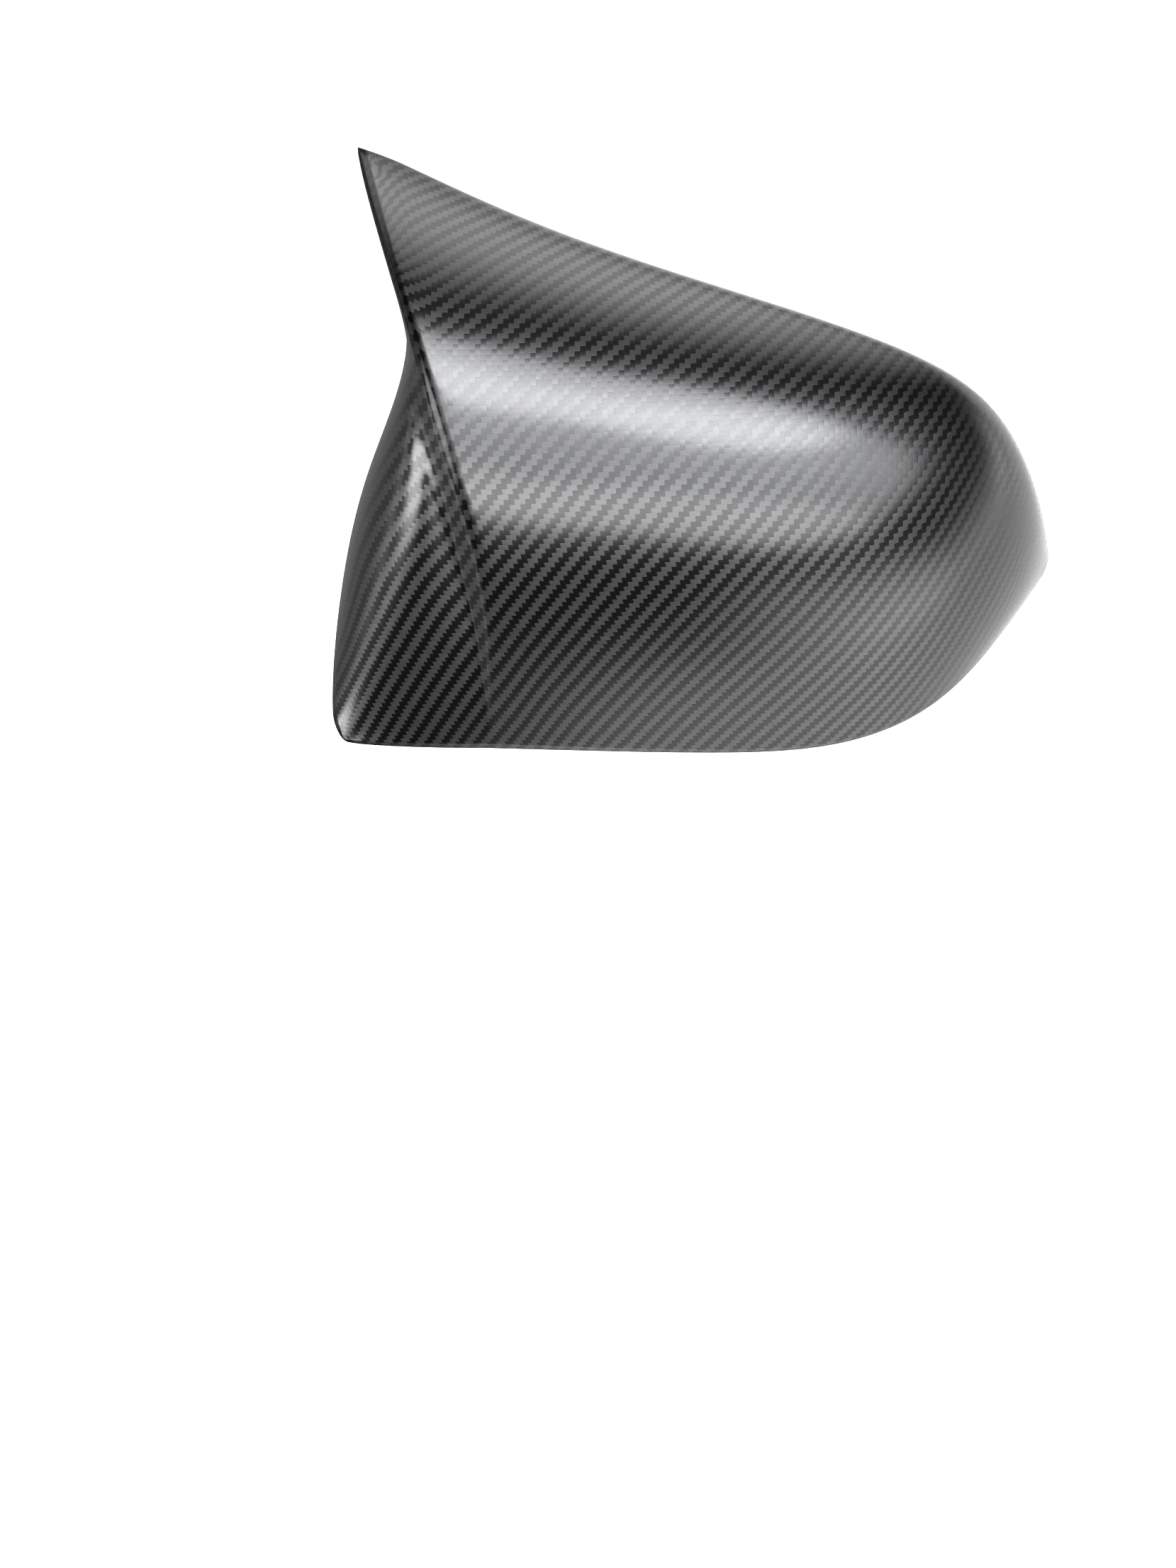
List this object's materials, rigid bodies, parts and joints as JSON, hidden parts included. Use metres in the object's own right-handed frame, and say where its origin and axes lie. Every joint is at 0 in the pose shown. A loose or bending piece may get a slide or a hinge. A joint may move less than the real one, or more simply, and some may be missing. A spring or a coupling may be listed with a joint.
{
  "type": "wing mirror cover",
  "caption": "Left-hand wing mirror cover with a pointed inboard horn: a thin domed carbon fibre shell, hollow inside, that lies open side down on its rim",
  "frame": {"origin": "middle of the outline as seen from above, in the plane that the rim lies on", "axes": "+X points outboard along the cover's length, +Y points to the roof of the car, +Z points to the front of the car, out of the hollow"},
  "size_m": [0.2642, 0.1946, 0.083],
  "materials": {
    "carbon_laminate": "2/2 twill carbon fibre laminate under a satin clear coat"
  },
  "bodies": {
    "root": {"cover_shell": "carbon_laminate"}
  },
  "joints": []
}
